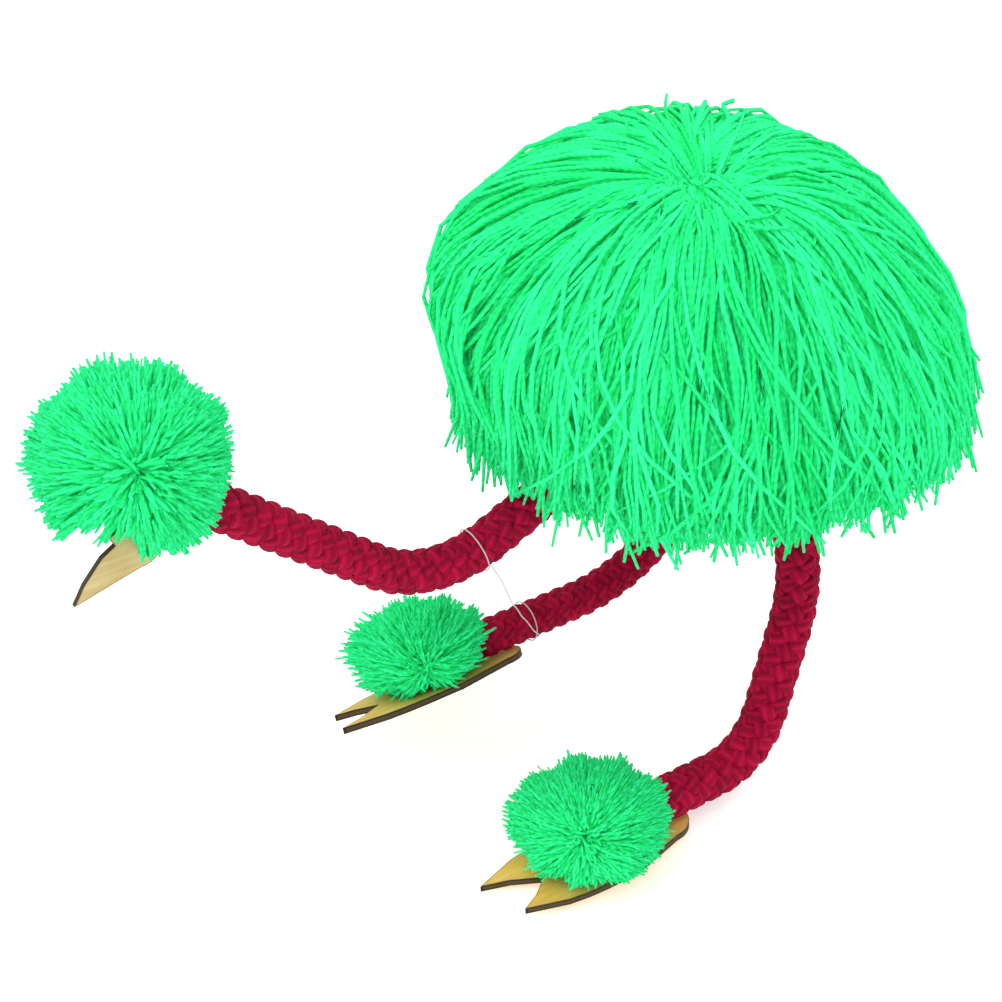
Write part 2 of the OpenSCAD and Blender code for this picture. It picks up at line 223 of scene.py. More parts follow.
def yarnFinish(name, dark, light, plyPitch, plies, plyDepth, sheen, plyShading, paintedGlow=0.0):
    # a plied yarn: its plies wind round it, with painted light on their ridges and painted shade in the
    # grooves between them, and each strand has its own shade
    # painted glow: the yarn's emission lifts its shaded parts, standing in for light passing through the
    # fibres
    paint = Finish(name, Roughness=0.85, Sheen_Weight=sheen, Sheen_Roughness=0.45, Sheen_Tint=light,
                   Specular_IOR_Level=0.12, Emission_Color=light, Emission_Strength=paintedGlow)
    uv = paint.node("UVMap")
    along = paint.node("SeparateXYZ", 0, {}, {"Vector": uv})
    across = paint.node("SeparateXYZ", 1, {}, {"Vector": uv})
    wave = ((across * plies + along * (1 / plyPitch)) * turn).apply("SINE")
    shade = paint.node("Attribute", 2, {"attribute_name": "shade"})
    speck = paint.noise(paint.objectPoint(), 900.0)
    # painted light and shade: the tone rises and falls with the ply wave that also makes the bumps
    tone = shade * 0.80 + wave * plyShading + speck * 0.3 - 0.10
    colour = paint.blend(tone.between(0, 1), dark, light)
    height = wave * 0.5 + speck * 0.5
    return paint.feed(Base_Color=colour, Normal=paint.bump(height, plyDepth))


def makeObject(name, points, quads, uvs, shade=None, material=None):
    # quads index the points, and uvs has one pair for each corner
    mesh = bpy.data.meshes.new(name)
    count = len(quads)
    mesh.vertices.add(len(points))
    mesh.vertices.foreach_set("co", np.ascontiguousarray(points, np.float32).ravel())
    mesh.loops.add(count * 4)
    mesh.loops.foreach_set("vertex_index", np.ascontiguousarray(quads, np.int32).ravel())
    mesh.polygons.add(count)
    mesh.polygons.foreach_set("loop_start", np.arange(0, count * 4, 4, dtype=np.int32))
    mesh.polygons.foreach_set("use_smooth", np.ones(count, bool))
    layer = mesh.uv_layers.new(name="UVMap")
    layer.data.foreach_set("uv", np.ascontiguousarray(uvs, np.float32).ravel())
    if shade is not None:
        mesh.attributes.new("shade", "FLOAT", "POINT").data.foreach_set(
            "value", np.ascontiguousarray(shade, np.float32).ravel())
    mesh.update(calc_edges=True)
    mesh.validate()
    made = bpy.data.objects.new(name, mesh)
    bpy.context.collection.objects.link(made)
    if material:
        mesh.materials.append(material)
    return made


def gridQuads(tubes, rings, sides):
    # corners of every quad on many closed tubes, with a quad over each end when there are 4 sides
    i, j = np.meshgrid(np.arange(rings - 1), np.arange(sides), indexing="ij")
    k = (j + 1) % sides
    quads = np.stack([i * sides + j, i * sides + k, (i + 1) * sides + k, (i + 1) * sides + j], -1)
    quads = quads.reshape(-1, 4)
    if sides == 4:
        last = (rings - 1) * sides
        quads = np.concatenate([quads, [[3, 2, 1, 0]], [[last, last + 1, last + 2, last + 3]]])
    return (np.arange(tubes)[:, None, None] * rings * sides + quads[None]).reshape(-1, 4)


def gridUvs(lengths, rings, sides):
    # u is the distance along a tube in metres, and v goes once round it
    tubes = len(lengths)
    i, j = np.meshgrid(np.arange(rings - 1), np.arange(sides), indexing="ij")
    v = np.stack([j, j + 1, j + 1, j], -1).reshape(-1, 4) / sides
    step = np.stack([i, i, i + 1, i + 1], -1).reshape(-1, 4)
    u = lengths[:, step]
    uvs = np.stack([u, np.broadcast_to(v, u.shape)], -1)
    if sides == 4:
        ends = np.zeros((tubes, 2, 4, 2))
        ends[:, 1, :, 0] = lengths[:, -1:]
        uvs = np.concatenate([uvs, ends], 1)
    return uvs.reshape(-1, 2)


def unit(vectors):
    return vectors / np.maximum(np.linalg.norm(vectors, axis=-1, keepdims=True), 1e-12)


def tubesAlong(paths, across, wide, thick, sides):
    # an ellipse carried along each path: across is the way its wide side faces
    tangent = unit(np.gradient(paths, axis=1))
    lateral = unit(across - (across * tangent).sum(-1, keepdims=True) * tangent)
    upward = np.cross(lateral, tangent)
    angle = np.arange(sides) * turn / sides + turn / 8
    ring = (np.cos(angle)[:, None] * lateral[:, :, None] * wide[:, :, None, None]
            + np.sin(angle)[:, None] * upward[:, :, None] * thick[:, :, None, None])
    return paths[:, :, None] + ring


def distanceAlong(paths):
    steps = np.linalg.norm(np.diff(paths, axis=1), axis=-1)
    return np.concatenate([np.zeros((len(paths), 1)), np.cumsum(steps, 1)], 1)


def strandObject(name, paths, radius, shade, material):
    # square tubes for strands of yarn, thinner at the tip and slightly at the root
    count, rings = paths.shape[:2]
    t = np.linspace(0, 1, rings)
    size = radius[:, None] * np.interp(t, [0, 0.08, 0.9, 1], [0.6, 1, 1, 0.62])[None]
    away = np.broadcast_to(unit(rng.normal(size=(count, 1, 3))), paths.shape)
    points = tubesAlong(paths, away, size, size, 4)
    uvs = gridUvs(distanceAlong(paths), rings, 4)
    return makeObject(name, points.reshape(-1, 3), gridQuads(count, rings, 4), uvs,
                      np.repeat(shade, rings * 4), material)


thread = dict(diameter=0.4, points=[
    (7.8, -79.5, -73.5), (6.5, -76.5, -78.5), (4.5, -73.5, -83.5), (2, -71, -88), (-0.5, -68.5, -92.5),
    (-3, -66, -97), (-5.5, -63.5, -101.5), (-8, -61, -106), (-10, -58, -110), (-12, -55.5, -114.5),
    (-14.5, -53, -118.5), (-16.5, -50, -122.5), (-18.5, -47.5, -126.5), (-20.5, -45, -130.5),
    (-22.5, -42.5, -134.5), (-24.5, -39.5, -138)])


def threadFinish():
    paint = Finish("threadFibre", Roughness=0.5, Sheen_Weight=0.3)
    grain = paint.noise(paint.objectPoint(), 2500.0)
    return paint.feed(Base_Color=paint.blend(grain, rgb(158, 152, 148), rgb(204, 199, 193)))


def addThread(finish):
    points = np.array(thread["points"]) * mm
    curve = bpy.data.curves.new("controlThread", "CURVE")
    curve.dimensions = "3D"
    curve.bevel_depth = thread["diameter"] / 2 * mm
    curve.bevel_resolution = 3
    curve.use_fill_caps = True
    spline = curve.splines.new("NURBS")
    spline.points.add(len(points) - 1)
    spline.points.foreach_set("co", np.column_stack([points, np.ones(len(points))]).ravel())
    spline.use_endpoint_u = True
    spline.order_u = 4
    made = bpy.data.objects.new("controlThread", curve)
    bpy.context.collection.objects.link(made)
    curve.materials.append(finish)
    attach(made, "lower_neck")
    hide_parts("control_thread")
    for node in ("neck_thread_loop", "leg_thread_loop"):
        paintNode(node, finish)


def paintNode(node, finish):
    mesh = frame["nodes"][node].data
    if not mesh.materials:
        mesh.materials.append(finish)
    for index in range(len(mesh.materials)):
        mesh.materials[index] = finish


# A rope's steps are [run, bend], its heading is 0 straight down and 90 straight ahead
def arcStep(radius, bend):
    return (radius * np.radians(bend), bend)


braid = dict(strands=5, spread=43, weave=1.2, thick=1.6, wide=2.5, coreGap=0.3, ringStep=0.6, sides=12,
             taper=1.4, stub=3.0)
neckRope = dict(name="neck", radius=6.6, lean=0, start=(0, -20.098, -46.948), heading=66,
                steps=[(59, 0), arcStep(36, 64), (63, 0), (9, 0)], flexes=[26, 44, 103.15, 188.2],
                joints=["neck_sway", "neck_lift", "neck_curl", "head_nod"], reach=[8, 8, 12, 8],
                slot="neck_braid", nodes=["neck_root", "neck_collar", "neck_lower_braid",
                                          "neck_upper_braid", "neck_tip"])
leftRope = dict(name="leftLeg", radius=7.1, lean=-14, start=(21.5, 18, None), heading=0,
                steps=[(50, 0), arcStep(50, 27), (27, 0), arcStep(25, 63), (34, 0)],
                joints=["left_hip", "left_knee", "left_ankle"], reach=[9, 14, 12], slot="leg_braid",
                nodes=["left_leg_root", "left_thigh_braid", "left_shin_braid", "left_ankle_braid"])
rightRope = dict(name="rightLeg", radius=6.3, lean=8, start=(-21.5, 18, None), heading=0,
                 steps=[(60, 0), arcStep(24, 50), (4, 0), arcStep(41, 40), (47, 0)],
                 joints=["right_hip", "right_knee", "right_ankle"], reach=[9, 12, 12], slot="leg_braid",
                 nodes=["right_leg_root", "right_thigh_braid", "right_shin_braid", "right_ankle_braid"])


def ropeFrame(rope, s):
    # the heading turns evenly along each step, and the middle line sums its sines and cosines
    knots = np.cumsum([0] + [run for run, bend in rope["steps"]])
    bends = np.cumsum([0] + [bend for run, bend in rope["steps"]])
    fine = np.linspace(0, knots[-1], 6001)
    heading = np.radians(rope["heading"] + np.interp(fine, knots, bends))
    middle = (heading[1:] + heading[:-1]) / 2
    step = fine[1] - fine[0]
    y = np.concatenate([[0], -np.cumsum(np.sin(middle)) * step])
    z = np.concatenate([[0], -np.cumsum(np.cos(middle)) * step])
    line = np.stack([0 * s, np.interp(s, fine, y), np.interp(s, fine, z)], -1)
    angle = np.interp(s, fine, heading)
    side = np.stack([1 + 0 * s, 0 * s, 0 * s], -1)
    out = np.stack([0 * s, -np.cos(angle), np.sin(angle)], -1)
    line, side, out = (leaned(v, rope["lean"]) for v in (line, side, out))
    return (line + rope["origin"]) * mm, side, out


def leaned(vectors, lean):
    a = np.radians(lean)
    x, z = vectors[..., 0].copy(), vectors[..., 2].copy()
    turned = vectors.copy()
    turned[..., 0] = x * np.cos(a) + z * np.sin(a)
    turned[..., 2] = z * np.cos(a) - x * np.sin(a)
    return turned


def prepareRope(rope):
    # the hinges say where the rope bends: the distance along it that comes nearest to each of them
    joints = {j["name"]: j for j in frame["joints"]}
    rope["total"] = sum(run for run, bend in rope["steps"])
    x, y, z = rope["start"]
    if z is None:
        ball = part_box("body_ball")
        radius = (ball[1].x - ball[0].x) / 2 / mm
        z = -radius - np.sqrt(radius ** 2 - x ** 2 - y ** 2)
        rise = leaned(np.array([0.0, 0.0, 16.0]), rope["lean"])
        x, y, z = x + rise[0], y + rise[1], z + rise[2]
    rope["origin"] = np.array([x, y, z])
    s = np.linspace(0, rope["total"], 4001)
    line = ropeFrame(rope, s)[0]
    rope["pairs"] = [(joints[n]["parent"], joints[n]["child"]) for n in rope["joints"]]
    rope["flexes"] = [float(s[np.argmin(np.linalg.norm(line - np.array(joints[n]["pos_m"]), axis=1))])
                      for n in rope["joints"]]


def braidPoints(rope, first, last):
    # each strand winds round the rope and weaves over and under those that wind the other way
    outer = rope["radius"]
    middle = outer - braid["weave"] - braid["thick"]
    pitch = turn * (middle + 0.5) / np.tan(np.radians(braid["spread"]))
    step = braid["ringStep"]
    inner = np.arange(first, last + step / 2, (last - first) / round((last - first) / step))
    taper = braid["taper"]
    s = np.concatenate([[first - taper, first - 0.85 * taper, first - 0.45 * taper], inner,
                        [last + 0.45 * taper, last + 0.85 * taper, last + taper]])
    size = np.ones(len(s))
    size[[0, 1, 2]] = [0.04, 0.55, 0.88]
    size[[-1, -2, -3]] = [0.04, 0.55, 0.88]
    line, side, out = ropeFrame(rope, s)
    count = braid["strands"]
    way = np.repeat([1, -1], count)[:, None]
    start = np.tile(np.arange(count) * turn / count, 2)[:, None]
    angle = way * turn * s / pitch + start
    swing = np.tanh(1.6 * np.cos(turn * count * s / pitch)) / np.tanh(1.6)
    reach = (middle + way * braid["weave"] * swing)[..., None] * mm
    radial = np.cos(angle)[..., None] * side + np.sin(angle)[..., None] * out
    paths = line + reach * radial
    tangent = unit(np.gradient(paths, axis=1))
    across = np.cross(radial, tangent)
    ones = np.ones_like(angle) * size
    points = tubesAlong(paths, across, braid["wide"] * mm * ones, braid["thick"] * mm * ones,
                        braid["sides"])
    return points, np.broadcast_to(s * mm, angle.shape)


def corePoints(rope, first, last):
    # a plain tube that closes the gaps between the strands; addBraid paints it dark as painted shade in
    # those gaps
    s = np.concatenate([[first - 1], np.arange(first, last, 2), [last, last + 1]])
    line, side, out = ropeFrame(rope, s)
    size = np.r_[0.02, np.ones(len(s) - 2), 0.02]
    radius = (rope["radius"] - 2 * braid["thick"] - braid["coreGap"]) * size * mm
    angle = np.arange(16) * turn / 16
    ring = (np.cos(angle)[None, :, None] * side[:, None] + np.sin(angle)[None, :, None] * out[:, None])
    return (line[:, None] + radius[:, None, None] * ring)[None], s[None] * mm


def addBraid(rope, finish):
    prepareRope(rope)
    cuts = [4.0]
    for a, b in zip(rope["flexes"], rope["flexes"][1:]):
        cuts.append((a + b) / 2)
    cuts.append(rope["total"] - braid["stub"])
    for index, (parent, child) in enumerate(rope["pairs"]):
        first, last = cuts[index], cuts[index + 1]
        parts = []
        base = 0
        for points, lengths, sides in ((*braidPoints(rope, first, last), braid["sides"]),
                                       (*corePoints(rope, first, last), 16)):
            tubes, rings = points.shape[:2]
            quads = gridQuads(tubes, rings, sides) + base
            # painted shade: the core in the gaps between the strands gets a dark shade, the strands a
            # lighter one
            shade = np.full(points.shape[:3], 0.12 if sides == 16 else 0.62)
            if sides != 16:
                shade += np.linspace(-0.14, 0.14, tubes)[rng.permutation(tubes)][:, None, None]
            parts.append((points.reshape(-1, 3), quads, gridUvs(lengths, rings, sides), shade.ravel()))
            base += points.size // 3
        points, quads, uvs, shade = (np.concatenate(p) for p in zip(*parts))
        made = makeObject(f"{rope['name']}Braid{index + 1}", points, quads, uvs, shade, finish)
        flex, reach = rope["flexes"][index], rope["reach"][index]
        ends = ropeFrame(rope, np.array([flex - reach, flex + reach]))[0]
        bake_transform(made)
    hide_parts(*rope["nodes"])


# Lengths in millimetres: each strand starts at the crown, rounds the shoulder and hangs to the hem
mop = dict(locks=480, perLock=17, innerLocks=64, rings=12, radius=0.68,
           crown=7, shoulder=69, depth=16, innerDepth=(21, 27), lockShare=42, underDepth=9.0,
           hem=-52.5, hemFront=-3.0, hemNear=7.0, hemRight=3.0, hemSpread=4.2, strandSpread=2.6,
           innerHem=-63.5, innerSpread=1.2, shortShare=0.34, shortBy=10, shortFront=12, shortest=62,
           flare=3.0, frontBulge=9.0, frontTuck=6.0, rightTuck=7.0, puff=3.5, puffRear=4.0, dimple=3.0,
           tufts=0.02, flyaway=0.18, lockSway=0.12, strandSway=0.06, flySway=0.34,
           crownAt=(-4.0, -6.0), seam=(0.938, -0.343), seamFrom=-2, seamTo=20,
           frontHalf=34, lockRise=12, lockFall=24,
           neckAt=(-43.85, -57.5), neckSlope=0.445, neckClear=8.4, neckHalf=9)


def aboveNeck(x, y, z, half, clearance):
    # strands over the neck stop just above it: its top climbs towards the body at an even slope
    neckTop = mop["neckAt"][1] + (y - mop["neckAt"][0]) * mop["neckSlope"] + clearance
    over = (np.abs(x) < half) & (y < -30)
    return np.where(over, np.maximum(z, neckTop), z)


def mopProfile(s, depth):
    # flat over the crown, round the shoulder, then straight down: r and z at a distance s from the top
    top = (mop["topZ"] - depth)
    radius = mop["shoulder"] - depth
    bend = np.clip((s - mop["crown"]) / radius, 0, np.pi / 2)
    below = np.maximum(s - mop["crown"] - radius * np.pi / 2, 0)
    r = np.minimum(s, mop["crown"]) + radius * np.sin(bend)
    z = top - radius * (1 - np.cos(bend)) - below
    return r, z


def mopPaths():
    outerLocks, per = mop["locks"], mop["perLock"]
    locks = outerLocks + mop["innerLocks"]
    count = locks * per
    golden = (np.sqrt(5) - 1) / 2
    lockAngle = (np.arange(locks) * golden % 1 * turn)
    lockDepth = np.concatenate([mop["depth"] * np.linspace(1, 0, outerLocks) ** 1.25 - 1.0,
                                rng.uniform(*mop["innerDepth"], mop["innerLocks"])])
    lock = np.repeat(np.arange(locks), per)
    width = turn / mop["lockShare"]
    offset = rng.uniform(-1, 1, count) * width * 0.62
    depth = lockDepth[lock] + rng.uniform(-1.2, 1.6, count) + 9.0 * (offset / width) ** 2
    angle0 = lockAngle[lock]
    t = np.linspace(0, 1, mop["rings"])[None]
    # shares of each strand's way that lie to the rear right and to the front right of the bird
    right = np.cos(angle0 - np.arctan2(0.829, 0.559))
    near = np.cos(angle0 - np.arctan2(-0.559, 0.829))
    front = np.maximum(-right, 0)
    rear = np.maximum(-near, 0)
    right = np.maximum(right, 0)
    flyaway = rng.random(count) < mop["flyaway"]
    raised = mop["hemNear"] * np.clip(near + 0.4, 0, 1) + mop["hemRight"] * right
    hem = mop["hem"] + mop["hemFront"] * front + np.minimum(raised, mop["hemNear"])
    hem = hem + rng.normal(0, mop["hemSpread"], locks)[lock] + rng.normal(0, mop["strandSpread"], count)
    short = rng.exponential(1, count) * (mop["shortBy"] + mop["shortFront"] * front)
    hem = hem + np.where(rng.random(count) < mop["shortShare"], short, 0)
    # the innermost locks hang lower, round the ball
    inner = lock >= outerLocks
    hem = np.where(inner, mop["innerHem"] + rng.normal(0, mop["innerSpread"], count), hem)
    front = np.where(inner, 0, front)
    right = np.where(inner, 0, right)
    shoulder = mop["shoulder"] - depth
    start = rng.uniform(2, 7, count)
    full = mop["crown"] + shoulder * np.pi / 2 + (mop["topZ"] - mop["shoulder"] - hem)
    tuft = rng.random(count) < mop["tufts"]
    full = np.where(tuft, rng.uniform(20, 50, count), np.maximum(full, mop["shortest"]))
    s = start[:, None] + (full - start)[:, None] * t
    r, z = mopProfile(s, depth[:, None])
    # how far round the shoulder: 0 at the crown and 1 where the strands hang straight
    bent = (s - mop["crown"]) / (shoulder * np.pi / 2)[:, None]
    drop = np.clip((s - mop["crown"] - 0.8 * shoulder[:, None]) / 62, 0, 1.2)
    r = r + mop["flare"] * right[:, None] * drop ** 1.1
    r = r + front[:, None] * (mop["frontBulge"] * np.exp(-((bent - 0.60) / 0.24) ** 2)
                              - mop["frontTuck"] * np.clip((bent - 0.72) / 0.22, 0, 1))
    r = r - right[:, None] * mop["rightTuck"] * np.exp(-((bent - 0.55) / 0.27) ** 2)
    z = z + (mop["puff"] + mop["puffRear"] * rear)[:, None] * np.sin(np.pi * np.clip(bent / 0.9, 0, 1))
    z = z - mop["dimple"] * np.clip(1 - s / 12, 0, 1)
    z = z + np.where(tuft, rng.uniform(2, 6, count), 0)[:, None] * t ** 2
    # puffed locks, waves along each strand and a flick at the tip
    r = r + (rng.normal(0, 2.8, locks)[lock])[:, None] * np.sin(np.pi * np.clip(t * 0.8, 0, 1))
    gather = 1 - 0.82 * np.clip((t - 0.25) / 0.75, 0, 1) ** 1.2
    sway = rng.normal(0, mop["lockSway"], locks)[lock][:, None] * t ** 1.5
    sway = sway + rng.normal(0, mop["strandSway"], count)[:, None] * t ** 2
    sway = sway + np.where(flyaway, rng.normal(0, mop["flySway"], count), 0)[:, None] * t ** 2.2
    waves = rng.uniform(1.2, 3.6, count)[:, None]
    phase = rng.uniform(0, turn, count)[:, None]
    lateral = rng.uniform(0.6, 3.0, count)[:, None] * np.sin(turn * waves * t + phase) * t ** 0.7
    lockWaves = rng.uniform(0.8, 1.7, locks)[lock][:, None]
    lockPhase = rng.uniform(0, turn, locks)[lock][:, None]
    lockSwing = rng.uniform(1.5, 5.5, locks)[lock][:, None]
    lateral = lateral + lockSwing * np.sin(turn * lockWaves * t + lockPhase) * t
    angle = angle0[:, None] + offset[:, None] * gather + sway + lateral / np.maximum(r, 14)
    swell = rng.uniform(0.3, 1.6, count)[:, None] * np.sin(turn * waves * 0.8 * t + phase * 1.7)
    swell = swell + np.where(flyaway, rng.uniform(1.5, 4.5, count), 0)[:, None] * np.sin(np.pi * t)
    r = r + swell + (rng.normal(0.2, 2.4, count))[:, None] * np.clip((t - 0.80) / 0.20, 0, 1) ** 2
    z = z + swell * 0.6 * np.clip(1 - t * 1.6, 0, 1)
    parted = np.clip(1 - t * 1.7, 0, 1) ** 1.5
    seam = rng.uniform(mop["seamFrom"], mop["seamTo"], locks)[lock][:, None]
    x = r * np.cos(angle) + (seam * mop["seam"][0] + mop["crownAt"][0]) * parted
    y = r * np.sin(angle) + (seam * mop["seam"][1] + mop["crownAt"][1]) * parted
    z = aboveNeck(x, y, z, mop["neckHalf"], mop["neckClear"])
    # painted shade: strands of deeper locks are darker, on top of each strand's and each lock's random tone
    shade = np.clip(0.62 + rng.normal(0, 0.17, count) + rng.normal(0, 0.14, locks)[lock]
                    - 0.030 * np.clip(depth, 0, 16), 0.05, 1)
    return np.stack([x, y, z], -1) * mm, shade, (angle0 + offset) % turn


def addMop(finish, under):
    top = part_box("yarn_mop")[1].z / mm
    mop["topZ"] = top
    paths, shade, angle = mopPaths()
    radius = np.full(len(paths), mop["radius"] * mm) * rng.uniform(0.86, 1.12, len(paths))
    front = np.degrees(np.abs((angle - 1.5 * np.pi + np.pi) % turn - np.pi)) < mop["frontHalf"]
    sector = ((angle - 1.5 * np.pi) % turn / (turn / 4)).astype(int)
    names = ["mopLeftStrands", "mopRearLeftStrands", "mopRearRightStrands", "mopRightStrands"]
    pieces = []
    for index, name in enumerate(names):
        pick = (sector == index) & ~front
        pieces.append(strandObject(name, paths[pick], radius[pick], shade[pick], finish))
        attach(pieces[-1], "torso")
    lock = strandObject("mopFrontLock", paths[front], radius[front], shade[front], finish)
    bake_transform(lock)
    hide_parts("mop_front_lock")
    pieces.append(addMopUnderlayer(under))
    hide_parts("yarn_mop")
    print("mop of", len(paths), "strands")


def addMopUnderlayer(finish):
    # the imported strands under the outer ones, painted dark as the shade beneath them: a closed, ridged
    # dome that is open round the ball
    turns, ridges = 360, 90
    depth = mop["underDepth"]
    s = np.linspace(0, mop["crown"] + (mop["shoulder"] - depth) * np.pi / 2, 40)
    r, z = mopProfile(s, depth)
    ballR = (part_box("body_ball")[1].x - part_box("body_ball")[0].x) / 2 / mm + 1.5
    inner = np.linspace(0, 1, 12)
    bend = inner * np.pi / 2
    r = np.concatenate([r, [r[-1] - 6, ballR + 6, ballR], ballR * np.cos(bend[1:])])
    z = np.concatenate([z, [z[-1] - 3, z[-1] - 3, z[-1]], z[-1] * (1 - inner[1:]) + (13.5) * inner[1:]])
    r = np.maximum(r, 0.02)
    lengths = np.cumsum(np.r_[0, np.hypot(np.diff(r), np.diff(z))]) * mm
    angle = np.arange(turns) * turn / turns
    ripple = 0.9 * np.cos(angle * ridges)[None] * np.clip(r / 40, 0, 1)[:, None]
    ripple = ripple + 1.2 * np.sin(angle * 7 + 1)[None] * np.clip(r / 60, 0, 1)[:, None]
    radius = r[:, None] + ripple
    x, y = radius * np.cos(angle), radius * np.sin(angle)
    z = np.broadcast_to(z[:, None], radius.shape)
    points = np.stack([x, y, aboveNeck(x, y, z, mop["neckHalf"] + 3, mop["neckClear"] + 0.6)], -1)
    quads = gridQuads(1, len(r), turns)[:, ::-1]
    uvs = gridUvs(lengths[None], len(r), turns).reshape(-1, 4, 2)[:, ::-1].reshape(-1, 2)
    uvs[:, 1] *= turns
    # painted shade: a low shade value on the darker yarn
    made = makeObject("mopUnderlayer", points.reshape(-1, 3) * mm, quads, uvs,
                      np.full(points.size // 3, 0.1), finish)
    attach(made, "torso")
    return made


# The hub is the side that a pompom's strands lie out from, and reach is across, ahead and up
headPom = dict(name="headPompomStrands", node="head_pompom", body="head", count=4200,
               hub=(0.863, -0.281, 0.422), reach=(24.2, 24.2, 24.2), radius=0.54, spread=0.035, lift=0,
               core=0.58, coreShift=5)
leftPom = dict(name="leftPompomStrands", node="left_foot_pompom", body="left_foot", count=3300,
               hub=(0.584, -0.581, 0.567), reach=(23.6, 23.2, 14.0), radius=0.52, spread=0.04, lift=-0.5,
               core=0.62)
rightPom = dict(name="rightPompomStrands", node="right_foot_pompom", body="right_foot", count=2800,
                hub=(0.91, -0.398, 0.1), reach=(22, 20, 14.0), radius=0.52, spread=0.09, lift=-0.5,
                core=0.62)


def flatFrame(node):
    # a flat part's own axes: across, ahead and up, from the way its points spread
    points = np.array([v.co for v in frame["nodes"][node].data.vertices])
    axes = np.linalg.svd(points - points.mean(0), full_matrices=False)[2]
    up = axes[2] * np.sign(axes[2][2])
    ahead = axes[0] * -np.sign(axes[0][1])
    return np.cross(ahead, up) * 1.0, ahead, up


def pomPaths(pom, centre, axes, gaps):
    # quadratic curves from near the hub, over the surface, to ends spread evenly over an ellipsoid
    count = pom["count"]
    i = np.arange(count) + 0.5
    height = 1 - 2 * i / count
    around = i * turn * (np.sqrt(5) - 1) / 2
    level = np.sqrt(1 - height ** 2)
    way = np.stack([level * np.cos(around), level * np.sin(around), height], -1)
    way = unit(way + rng.normal(0, 0.10, way.shape))
    keep = np.ones(count, bool)
    for direction, cosine in gaps:
        keep &= (way @ unit(np.array(direction, float))) < cosine
    way = way[keep]
    count = len(way)
    across, ahead, up = axes
    hub = unit(np.array(pom["hub"], float))
    # strands near the hub lie out over the surface, so few of them end there
    apart = np.arccos(np.clip(way @ hub, -1, 1))[:, None]
    side = unit(way - hub * np.cos(apart) + 1e-6)
    swept = np.where(apart < 2.0, 2.0 * (apart / 2.0) ** 0.72, apart)
    reach = np.array(pom["reach"])
    frameAxes = np.stack([across, ahead, up])

    def onSurface(directions, share):
        return (directions @ frameAxes.T * reach * share) @ frameAxes

    way = hub * np.cos(swept) + side * np.sin(swept)
    length = 1 + rng.normal(0, pom["spread"], (count, 1)) + 0.05 * np.sin(way[:, :1] * 9 + way[:, 1:2] * 7)
    ends = onSurface(way, length)
    pull = np.clip((2.4 - swept) / 1.4, 0, 1)
    layer = rng.uniform(0.0, 1.0, (count, 1))
    start = onSurface(hub[None] * np.ones((count, 1)), (0.30 + 0.48 * layer) * pull) + side * 1.2
    start = start + rng.normal(0, 1.3, (count, 3))
    halfway = hub * np.cos(swept * 0.5) + side * np.sin(swept * 0.5)
    middle = (1 - pull) * 0.55 * ends + pull * onSurface(halfway, 0.74 + 0.30 * layer)
    t = np.linspace(0, 1, 6)[None, :, None]
    curve = (1 - t) ** 2 * start[:, None] + 2 * t * (1 - t) * middle[:, None] + t ** 2 * ends[:, None]
    curve = curve + rng.normal(0, 0.35, curve.shape) * t
    shade = np.clip(0.55 + rng.normal(0, 0.17, count), 0.05, 1)
    return centre + curve * mm, shade


def addPompom(pom, finish, gaps, axes):
    low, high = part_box(pom["node"])
    centre = np.array((low + high) / 2)
    if pom["node"] == "head_pompom":
        centre[2] = high.z - pom["reach"][2] * mm
    centre = centre + np.array(axes[2]) * pom["lift"] * mm
    paths, shade = pomPaths(pom, centre, axes, gaps)
    radius = pom["radius"] * mm * rng.uniform(0.85, 1.12, len(paths))
    made = strandObject(pom["name"], paths, radius, shade, finish)
    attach(made, pom["body"])
    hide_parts(pom["node"])
    print(pom["name"], len(paths), "strands")
    return centre


def addPomCore(name, body, centre, axes, reach, share, finish):
    # the imported middle of a pompom, painted dark as the shade under its strands: a ridged ellipsoid
    rows, turns = 24, 64
    lift = np.linspace(-np.pi / 2, np.pi / 2, rows)
    angle = np.arange(turns) * turn / turns
    ripple = 1 + 0.05 * np.cos(angle * 16)[None] * np.cos(lift)[:, None] + 0.03 * np.sin(lift * 18)[:, None]
    local = np.stack([np.maximum(np.cos(lift), 0.001)[:, None] * np.cos(angle) * ripple,
                      np.maximum(np.cos(lift), 0.001)[:, None] * np.sin(angle) * ripple,
                      np.sin(lift)[:, None] * ripple], -1)
    points = centre + (local * np.array(reach) * share * mm) @ np.stack(axes)
    quads = gridQuads(1, rows, turns)
    if np.dot(np.cross(axes[0], axes[1]), axes[2]) < 0:
        quads = quads[:, ::-1]
    lengths = (lift - lift[0])[None] * np.mean(reach) * share * mm
    # painted shade: a low shade value on the darker yarn
    made = makeObject(name, points.reshape(-1, 3), quads, gridUvs(lengths, rows, turns),
                      np.full(rows * turns, 0.08), finish)
    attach(made, body)
    return made


def plywoodFinish(name, normal, dark, mid, pale):
    # bare birch with grain along the sole, and edges that the saw or laser has scorched
    paint = Finish(name, Specular_IOR_Level=0.35)
    grain = paint.noise(paint.stretched((900.0, 90.0, 900.0)), 1.0, 6.0, 0.6)
    broad = paint.noise(paint.objectPoint(), 60.0, 3.0)
    geometry = paint.node("NewGeometry", 1)
    flat = paint.dot(geometry, normal).apply("ABSOLUTE")
    bevel = paint.node("Bevel", 0, {"samples": 8}, {"Radius": 1.1 * mm})
    rim = paint.dot(bevel, geometry)
    wall = 1 - flat.between(0.35, 0.65)
    scorch = (1 - rim.between(0.80, 0.995)) * (0.6 + 0.6 * broad)
    wood = paint.blend(grain.between(0.3, 0.75), mid, dark)
    wood = paint.blend(broad.between(0.35, 0.8) * 0.5, wood, pale)
    singed = paint.blend((scorch + wall * 0.92).join("MINIMUM", 1.0), wood, rgb(30, 14, 4))
    rough = 0.55 + grain * 0.2
    return paint.feed(Base_Color=singed, Roughness=rough, Normal=paint.bump(grain, 0.08 * mm))


